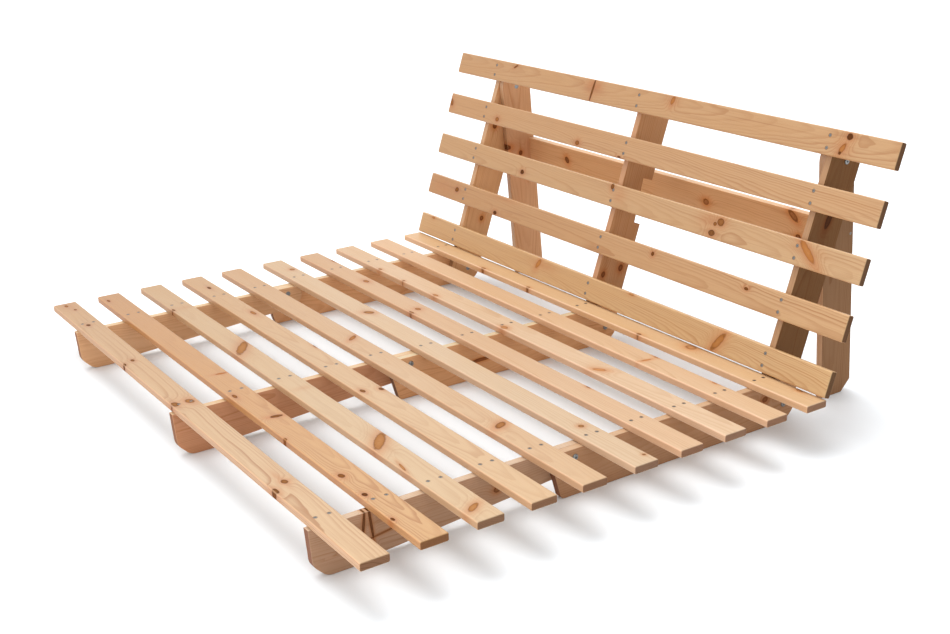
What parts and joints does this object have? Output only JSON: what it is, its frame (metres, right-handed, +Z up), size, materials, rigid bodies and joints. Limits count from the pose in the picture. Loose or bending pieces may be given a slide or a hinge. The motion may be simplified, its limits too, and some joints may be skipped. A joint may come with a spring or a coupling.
{
  "type": "slatted futon frame",
  "caption": "Low pine slatted futon base: flat front and seat sections and a raised back on folding rear legs, joined by bolted hinges.",
  "frame": {"origin": "middle of the footprint at floor level, in the in-use pose with the back raised", "axes": "+X along the slats, to the right seen from the front; +Y from the front edge towards the raised back; +Z up"},
  "size_m": [1.9, 1.713, 0.7665],
  "materials": {
    "pine_slat": "planed, unvarnished",
    "pine_rail": "planed, unvarnished",
    "screw_zinc": "zinc plated",
    "hinge_steel": "zinc plated"
  },
  "bodies": {
    "seat_section": {"seat_rail_left": "pine_rail", "seat_rail_middle": "pine_rail", "seat_rail_right": "pine_rail", "seat_slat_1": "pine_slat", "seat_slat_2": "pine_slat", "seat_slat_3": "pine_slat", "seat_slat_4": "pine_slat", "seat_slat_5": "pine_slat", "seat_slat_screws": "screw_zinc", "front_hinge_bolts": "hinge_steel", "front_hinge_washers": "hinge_steel", "front_hinge_nuts": "hinge_steel", "back_hinge_bolts": "hinge_steel", "back_hinge_washers": "hinge_steel", "back_hinge_nuts": "hinge_steel"},
    "front_section": {"front_rail_left": "pine_rail", "front_rail_middle": "pine_rail", "front_rail_right": "pine_rail", "front_slat_1": "pine_slat", "front_slat_2": "pine_slat", "front_slat_3": "pine_slat", "front_slat_4": "pine_slat", "front_slat_5": "pine_slat", "front_slat_screws": "screw_zinc"},
    "back_section": {"back_rail_left": "pine_rail", "back_rail_middle": "pine_rail", "back_rail_right": "pine_rail", "back_slat_1": "pine_slat", "back_slat_2": "pine_slat", "back_slat_3": "pine_slat", "back_slat_4": "pine_slat", "back_slat_5": "pine_slat", "back_slat_screws": "screw_zinc", "leg_hinge_bolts": "hinge_steel", "leg_hinge_washers": "hinge_steel", "leg_hinge_nuts": "hinge_steel"},
    "rear_legs": {"rear_leg_left": "pine_rail", "rear_leg_right": "pine_rail", "leg_cross_board": "pine_rail", "cross_board_screws": "screw_zinc"}
  },
  "joints": [
    {"name": "front_hinge", "type": "hinge", "parent": "seat_section", "child": "front_section", "pos_m": [0, -0.16266, 0.1], "axis": [-1, 0, 0], "range_deg": [0, 90]},
    {"name": "back_hinge", "type": "hinge", "parent": "seat_section", "child": "back_section", "pos_m": [0, 0.54184, 0.052], "axis": [-1, 0, 0], "range_deg": [0, 71.3]},
    {"name": "leg_hinge", "type": "hinge", "parent": "back_section", "child": "rear_legs", "pos_m": [0, 0.7428, 0.67473], "axis": [-1, 0, 0], "range_deg": [0, 23.6]}
  ]
}
